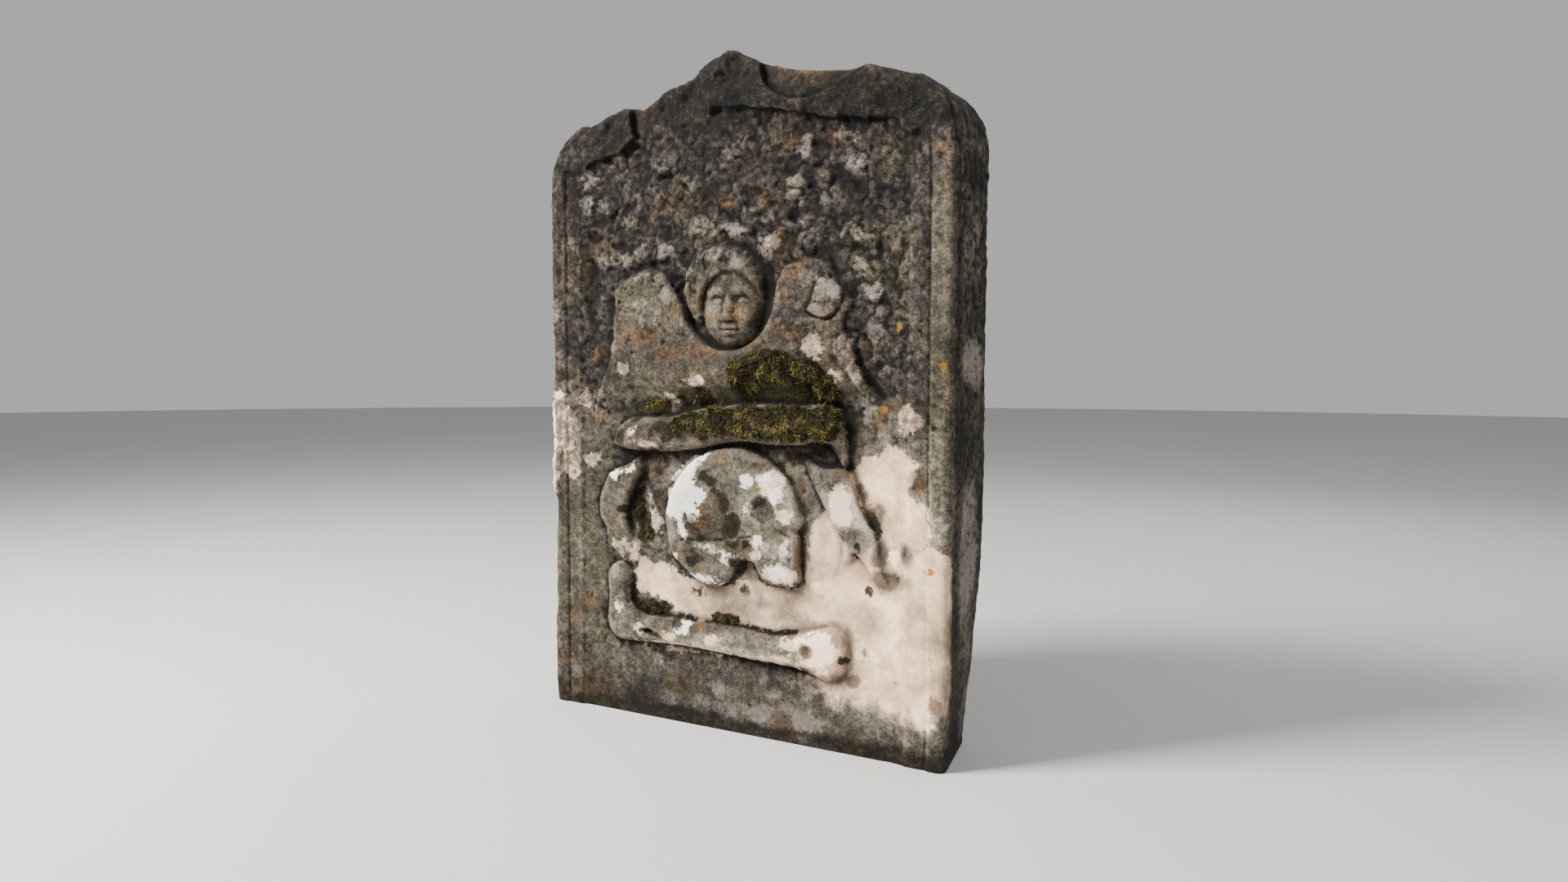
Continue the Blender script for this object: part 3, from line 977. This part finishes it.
def stone_finish():
    """Sandstone under crust, lichens and stains."""
    r = Recipe("weathered_stone")
    crust, lump = r.kept("crust"), r.kept("lump")
    crevice, hollow, tone = r.kept("crevice"), r.kept("hollow"), r.kept("tone")
    fine = r.rise(r.noise(0.0026, 4, 0.70), 0.32, 0.68)
    grit = r.rise(r.noise(0.0065, 7, 0.80), 0.32, 0.68)
    mottle = r.rise(r.noise(0.020, 6, 0.68, 0.6), 0.34, 0.66)
    cloud = r.noise(0.060, 5, 0.62)
    other_cloud = r.noise(0.048, 5, 0.62, place=r.stretched(1.0, 1.3, 0.8))
    broad = r.noise(0.15, 3, 0.5)

    # The edge of every patch wanders by a few millimetres
    ragged = r.about(mottle, 0.75)
    frayed = r.about(grit, 0.45)
    edge = r.calc("ADD", ragged, frayed)
    bare = r.patch("bare", edge, 0.12)

    # Near the ground the bare stone fades out
    bare_soft = r.patch("bare", r.about(mottle, 1.2), 1.3, 0.5)
    low = r.rise(r.height_up(), 0.135, 0.085)
    bare = r.over(low, bare, bare_soft)
    grey_here = r.patch("grey", edge, 0.35)
    charcoal_here = r.patch("charcoal", edge, 0.40)
    tan_here = r.patch("tan", edge, 0.22, -0.04)
    green_here = r.patch("green", edge, 0.45)

    # How light the weathered stone is at each point
    busy = r.rise(crust, 0.05, 0.95, 0.62, 0.82)
    busy = r.times(busy, r.rise(r.kept("carved"), 0.0, 1.0, 0.70, 1.0))
    light = r.total([
        tone,
        r.times(r.about(mottle, 0.17), busy),
        r.times(r.about(grit, 0.36), busy),
        r.about(fine, 0.22),
        r.about(r.rise(cloud, 0.35, 0.65), 0.13),
        r.times(r.about(lump, 0.21), crust),
        r.times(r.about(r.kept("rosette"), 0.10), crust),
        r.times(grey_here, 0.15),
        r.times(r.patch("shade", edge, 0.40), -0.15),
        -0.02,
        r.times(charcoal_here, -0.22),
        r.times(tan_here, -0.02),
        r.rise(crevice, 0.05, 0.60, 0.0, -0.26),
        r.rise(crevice, -0.02, -0.50, 0.0, 0.10),
    ])
    neutral = r.shades(light, [
        (0.00, (0.0032, 0.0028, 0.0024)),
        (0.20, (0.0165, 0.0138, 0.0112)),
        (0.40, (0.0520, 0.0440, 0.0365)),
        (0.60, (0.1350, 0.1170, 0.0960)),
        (0.80, (0.3000, 0.2620, 0.2180)),
        (1.00, (0.6400, 0.5650, 0.4800)),
    ])
    warm = r.shades(light, [
        (0.00, (0.0100, 0.0056, 0.0028)),
        (0.22, (0.0340, 0.0200, 0.0098)),
        (0.45, (0.1060, 0.0650, 0.0330)),
        (0.70, (0.2600, 0.1740, 0.0980)),
        (1.00, (0.6200, 0.4800, 0.3300)),
    ])
    greenish = r.shades(light, [
        (0.00, (0.0070, 0.0064, 0.0038)),
        (0.22, (0.0240, 0.0215, 0.0130)),
        (0.45, (0.0830, 0.0760, 0.0460)),
        (0.70, (0.2250, 0.2080, 0.1350)),
        (1.00, (0.5800, 0.5400, 0.3900)),
    ])
    warm_cloud = r.times(r.rise(cloud, 0.48, 0.66, 0.08, 0.80), r.kept("warmth"))
    warm_share = r.calc("MAXIMUM", r.times(tan_here, 0.95), warm_cloud)
    green_cloud = r.times(r.rise(other_cloud, 0.42, 0.62, 0.15, 0.95), r.kept("olive"))
    green_share = r.calc("MAXIMUM", r.times(green_here, 0.75), green_cloud)
    still_warm = r.times(warm_share, r.rise(grey_here, 0.0, 1.0, 1.0, 0.1))
    colour = r.over(still_warm, neutral, warm)
    colour = r.over(r.times(green_share, r.rise(tan_here, 0.0, 1.0, 1.0, 0.1)), colour, greenish)

    # Pale flecks on the charcoal crust
    flecks = r.rise(r.noise(0.0048, 6, 0.80), 0.52, 0.66)
    flecks = r.times(flecks, r.times(charcoal_here, 0.34))
    colour = r.over(flecks, colour, (0.105, 0.095, 0.087))

    # The smooth pale stone, with soft smears, stains and specks
    pale_light = r.total([
        tone,
        r.about(r.rise(cloud, 0.36, 0.64), 0.26),
        r.about(r.rise(broad, 0.36, 0.64), 0.20),
        r.about(mottle, 0.14),
        r.about(grit, 0.08),
        r.about(fine, 0.06),
    ])
    pale = r.shades(pale_light, [
        (0.10, (0.042, 0.031, 0.022)),
        (0.40, (0.170, 0.125, 0.088)),
        (0.60, (0.370, 0.272, 0.185)),
        (0.80, (0.680, 0.482, 0.315)),
        (1.00, (0.980, 0.740, 0.520)),
    ])
    pale = r.over(r.rise(other_cloud, 0.60, 0.72, 0.0, 0.40), pale, (0.780, 0.540, 0.400))
    smear = r.noise(0.050, 4, 0.65, 1.2, place=r.stretched(0.7, 1.0, 1.3))
    pale = r.over(r.rise(smear, 0.60, 0.76, 0.0, 0.60), pale, (0.240, 0.185, 0.140))
    speck = r.rise(r.noise(0.014, 3, 0.6), 0.63, 0.71, 0.0, 0.60)
    pale = r.over(speck, pale, (0.260, 0.180, 0.120))
    colour = r.over(bare, colour, pale)

    # Lichen patches and stains over both, each as its name, the pattern that takes it from its first
    # colour to its second, its edge's width and level, and how well it covers what lies under it
    lilac_pattern, brown_pattern = r.rise(light, 0.08, 0.70), r.rise(light, 0.12, 0.72)
    pits = r.rise(r.noise(0.0080, 5, 0.75), 0.40, 0.60)
    sunk = r.times(crust, r.calc("SUBTRACT", 1.0, pits))
    cream_pattern = r.times(r.rise(light, 0.15, 0.68), r.rise(sunk, 0.05, 0.60, 1.0, 0.0))
    white_cover = r.rise(r.noise(0.009, 4, 0.7), 0.28, 0.36, 0.35, 1.0)
    for name, pattern, dull, bright, width, level, cover in (
        ("lilac", lilac_pattern, (0.048, 0.039, 0.033), (0.320, 0.272, 0.238), 0.50, 0.0, 0.55),
        ("cream", cream_pattern, (0.180, 0.132, 0.092), (0.950, 0.745, 0.560), 0.16, 0.0, 0.90),
        ("white", r.rise(grit, 0.0, 0.40), (0.660, 0.560, 0.470), (0.998, 0.955, 0.890), 0.10, -0.10,
         white_cover),
        ("brown", brown_pattern, (0.0085, 0.0058, 0.0032), (0.110, 0.074, 0.043), 0.33, 0.0, 0.90),
        ("dark", r.rise(grit, 0.3, 0.9), (0.0045, 0.0036, 0.0010), (0.026, 0.0210, 0.0070), 0.20, -0.10,
         0.97),
        ("moss", r.rise(fine, 0.30, 0.95), (0.008, 0.0068, 0.002), (0.060, 0.050, 0.013), 0.30, 0.0,
         0.94),
    ):
        cover = r.times(r.patch(name, edge, width, level), cover)
        colour = r.over(cover, colour, r.over(pattern, dull, bright))
    orange = r.over(grit, (0.090, 0.045, 0.006), (0.360, 0.200, 0.022))
    colour = r.over(r.patch("orange", r.times(edge, 0.45), 0.12), colour, orange)

    # Dirt in the deep corners round the figures
    soot = r.rise(r.calc("ADD", hollow, r.times(frayed, 1.6)), 0.7, 2.8, 0.0, 0.92)
    washed = r.times(r.rise(bare, 0.0, 1.0, 1.0, 0.50), r.rise(r.kept("clean"), -0.2, 0.5, 1.0, 0.22))
    colour = r.over(r.times(soot, washed), colour, (0.15, 0.13, 0.11), "MULTIPLY")
    grime = r.times(r.kept("grime"), r.rise(mottle, 0.0, 0.8, 0.55, 1.0))
    colour = r.over(grime, colour, (0.10, 0.085, 0.070), "MULTIPLY")
    worn = r.rise(hollow, -0.4, -2.2, 0.0, 0.5)
    colour = r.over(worn, colour, (1.40, 1.36, 1.30), "MULTIPLY")

    roughness = r.over(bare, (0.95, 0.95, 0.95), (0.80, 0.80, 0.80))
    rough_bump = r.total([r.times(grit, 0.9), r.times(fine, 0.35)])
    height = r.times(rough_bump, r.rise(bare, 0.0, 1.0, 1.0, 0.10))
    return r.finish(colour, roughness, height, depth=0.0014)


def surface_samples(obj, patches, count, seed):
    """Random places on the carved face within the patches, and the way the stone faces there."""
    mesh = obj.data
    mesh.calc_loop_triangles()
    corners = np.zeros(len(mesh.loop_triangles) * 3, np.int64)
    mesh.loop_triangles.foreach_get("vertices", corners)
    corners = corners.reshape(-1, 3)
    points = points_of(obj)
    a, b, c = (points[corners[:, k]] for k in range(3))
    middle = (a + b + c) / 3
    across = np.cross(b - a, c - a)
    area = np.linalg.norm(across, axis=1)
    depth = patch_depth(middle, patches) + 0.55 * soft_noise(middle, 0.011, seed, 2)
    share = area * ease(-0.05, 0.25, depth) * (at_face(middle) > 0.5)
    random = np.random.default_rng(seed)
    chosen = random.choice(len(area), count, p=share / share.sum())
    u, v = random.random((2, count))
    over = u + v > 1
    u[over], v[over] = 1 - u[over], 1 - v[over]
    places = a[chosen] + u[:, None] * (b - a)[chosen] + v[:, None] * (c - a)[chosen]
    facing = across[chosen] / area[chosen][:, None]
    return places, facing, depth[chosen], random


def mesh_from(name, vertices, faces):
    """A new object of one mesh."""
    mesh = bpy.data.meshes.new(name)
    mesh.from_pydata([tuple(v) for v in vertices], [], [tuple(f) for f in faces])
    mesh.update()
    obj = bpy.data.objects.new(name, mesh)
    bpy.context.scene.collection.objects.link(obj)
    return obj


def repeated(faces, points_each, count):
    """The faces of one small form, given for a number of copies that follow one another."""
    return (faces[None] + (np.arange(count) * points_each)[:, None, None]).reshape(-1, 3)


def moss_cushion(name, obj, patches, blobs, height, seed):
    """A low lumpy cushion that follows the stone: many small blobs, melted into one skin."""
    ball = bmesh.new()
    bmesh.ops.create_icosphere(ball, subdivisions=1, radius=1.0)
    ball_points = np.array([tuple(v.co) for v in ball.verts])
    ball_faces = np.array([[v.index for v in f.verts] for f in ball.faces])
    ball.free()
    places, facing, depth, random = surface_samples(obj, patches, blobs, seed)
    size = height * (0.45 + 0.55 * ease(0.0, 0.7, depth)) * random.uniform(0.7, 1.25, blobs)
    centres = places + facing * (size * 0.10)[:, None]
    vertices = (centres[:, None, :] + ball_points[None] * size[:, None, None]).reshape(-1, 3)
    cushion = mesh_from(name, vertices, repeated(ball_faces, len(ball_points), blobs))
    finish_with(cushion, "REMESH", mode="VOXEL", voxel_size=MOSS_CELL, adaptivity=0.0)
    points, normals = points_of(cushion), normals_of(cushion)
    rough = 0.0011 * soft_noise(points, 0.0045, seed + 5, 2)
    move_points(cushion, points + normals * rough[:, None])
    smooth_shading(cushion)
    return cushion


def moss_fibres(name, cushion, count, length, seed):
    """Short bent fibres, rooted in the cushion and combed over it, each a slim three-sided spike."""
    points, normals = points_of(cushion), normals_of(cushion)
    outer = np.flatnonzero(normals[:, 1] < 0.35)
    random = np.random.default_rng(seed)
    root = outer[random.integers(0, len(outer), count)]
    start, up = points[root], normals[root]
    comb = soft_noise(start, 0.018, seed, 1) * math.pi
    side = np.stack([np.cos(comb), 0.25 * np.sin(comb * 2.0), 0.75 * np.sin(comb)], axis=1)
    side += 0.75 * random.normal(size=(count, 3))
    along = 0.20 * up + 0.85 * side / np.linalg.norm(side, axis=1)[:, None]
    along /= np.linalg.norm(along, axis=1)[:, None]
    droop = np.array((0.0, 0.0, -0.30)) + 0.35 * random.normal(size=(count, 3))
    reach = length * random.uniform(0.55, 1.35, count)[:, None]
    across = np.cross(along, random.normal(size=(count, 3)))
    across /= np.linalg.norm(across, axis=1)[:, None]
    other = np.cross(along, across)
    vertices = []
    for share, width in FIBRE_WIDTHS:
        middle = start + along * reach * share + droop * reach * share**2 * 0.5
        for turn in range(3):
            angle = 2 * math.pi * turn / 3
            vertices.append(middle + width * (math.cos(angle) * across + math.sin(angle) * other))
    vertices.append(start + along * reach + droop * reach * 0.5)
    vertices = np.stack(vertices, axis=1).reshape(-1, 3)
    proud = MOSS_REACH - vertices[:, 1]
    vertices[:, 1] += np.where(proud > 0, 0.8 * proud, 0)
    fibres = mesh_from(name, vertices, repeated(FIBRE_FACES, len(FIBRE_TIPS), count))
    keep_value(fibres, "tip", np.tile(FIBRE_TIPS, count))
    clump = 0.5 + 0.75 * soft_noise(start, 0.008, seed + 3, 2)
    shade = np.clip(0.60 * clump + 0.45 * random.random(count), 0, 1)
    keep_value(fibres, "shade", np.repeat(shade, len(FIBRE_TIPS)))
    keep_value(cushion, "tip", np.zeros(len(points)))
    keep_value(cushion, "shade", 0.5 + 0.5 * soft_noise(points, 0.010, seed + 3, 2))
    return fibres


def moss_finish():
    """Dark olive moss whose fibres end in yellow-olive tips."""
    r = Recipe("moss")
    tip, shade = r.kept("tip"), r.kept("shade")
    cloud = r.rise(r.noise(0.030, 3, 0.6), 0.36, 0.64)
    deep = r.shades(shade, [(0.0, (0.004, 0.003, 0.001)), (1.0, (0.020, 0.016, 0.005))])
    bright = r.shades(shade, [
        (0.00, (0.0080, 0.0060, 0.0015)),
        (0.40, (0.0180, 0.0150, 0.0030)),
        (0.65, (0.0780, 0.0640, 0.0130)),
        (0.90, (0.3300, 0.2700, 0.0600)),
    ])
    dull = r.shades(shade, [
        (0.00, (0.0060, 0.0045, 0.0015)),
        (0.55, (0.0220, 0.0170, 0.0045)),
        (0.90, (0.1500, 0.1180, 0.0350)),
    ])
    colour = r.over(tip, deep, r.over(cloud, dull, bright))
    fine = r.noise(0.0012, 3, 0.6)
    return r.finish(colour, 0.9, fine, depth=0.0006)


def make_moss(obj):
    """The moss on the scroll, under the wings and in the damp corners."""
    finish = moss_finish()
    for name, patches, blobs, height, count, length, seed in (
        ("moss_on_scroll", MOSS_ON_SCROLL, 2600, 0.0036, 11000, 0.0072, 301),
        ("moss_under_wings", MOSS_UNDER_WINGS, 2200, 0.0040, 9000, 0.0064, 302),
        ("moss_in_corners", MOSS_IN_CORNERS, 500, 0.0030, 1600, 0.0040, 303),
    ):
        cushion = moss_cushion(name, obj, patches, blobs, height, seed)
        fibres = moss_fibres(name + "_fibres", cushion, count, length, seed + 10)
        for piece in (cushion, fibres):
            piece.data.materials.append(finish)
            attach(piece, "root")


def make_floor():
    """A plain pale studio floor."""
    bpy.ops.object.select_all(action="DESELECT")
    bpy.ops.mesh.primitive_circle_add(vertices=96, radius=FLOOR_RADIUS, fill_type="NGON")
    floor = bpy.context.object
    floor.name = "studio_floor"
    material = bpy.data.materials.new("studio_floor")
    material.use_nodes = True
    shader = material.node_tree.nodes["Principled BSDF"]
    shader.inputs["Base Color"].default_value = FLOOR_COLOUR
    shader.inputs["Roughness"].default_value = 0.9
    floor.data.materials.append(material)


def soft_light(name, place, aim, size, power, colour):
    """A square area light at a place, turned to its aim."""
    light = bpy.data.lights.new(name, "AREA")
    light.size = size
    light.energy = power
    light.color = colour
    obj = bpy.data.objects.new(name, light)
    obj.location = place
    obj.rotation_euler = (Vector(aim) - Vector(place)).to_track_quat("-Z", "Y").to_euler()
    bpy.context.scene.collection.objects.link(obj)


def make_studio():
    """Pale surroundings and three soft lights."""
    world = bpy.data.worlds.new("studio")
    world.use_nodes = True
    air = world.node_tree.nodes["Background"]
    air.inputs["Color"].default_value = AIR_COLOUR
    air.inputs["Strength"].default_value = AIR_LIGHT
    bpy.context.scene.world = world
    for light in LIGHTS:
        soft_light(*light)


def make_camera():
    """The camera, at the height of the stone's middle and round to its right."""
    yaw, pitch, roll = (math.radians(turn) for turn in (CAMERA_YAW, CAMERA_PITCH, CAMERA_ROLL))
    ahead = Vector((math.sin(yaw) * math.cos(pitch), math.cos(yaw) * math.cos(pitch), -math.sin(pitch)))
    level = Vector((math.cos(yaw), -math.sin(yaw), 0.0))
    upright = level.cross(ahead)
    right = math.cos(roll) * level + math.sin(roll) * upright
    up = math.cos(roll) * upright - math.sin(roll) * level
    turned = Matrix((right, up, -ahead)).transposed().to_4x4()
    data = bpy.data.cameras.new("camera")
    data.sensor_width = FILM_MM
    data.lens = LENS_MM
    data.clip_start = 0.05
    camera = bpy.data.objects.new("camera", data)
    camera.matrix_world = Matrix.Translation(CAMERA_PLACE) @ turned
    bpy.context.scene.collection.objects.link(camera)
    bpy.context.scene.camera = camera


make_camera()
make_studio()
make_floor()
stone = make_stone()
paint_stone(stone)
stone.data.materials.append(stone_finish())
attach(stone, "root")
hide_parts("headstone")
make_moss(stone)
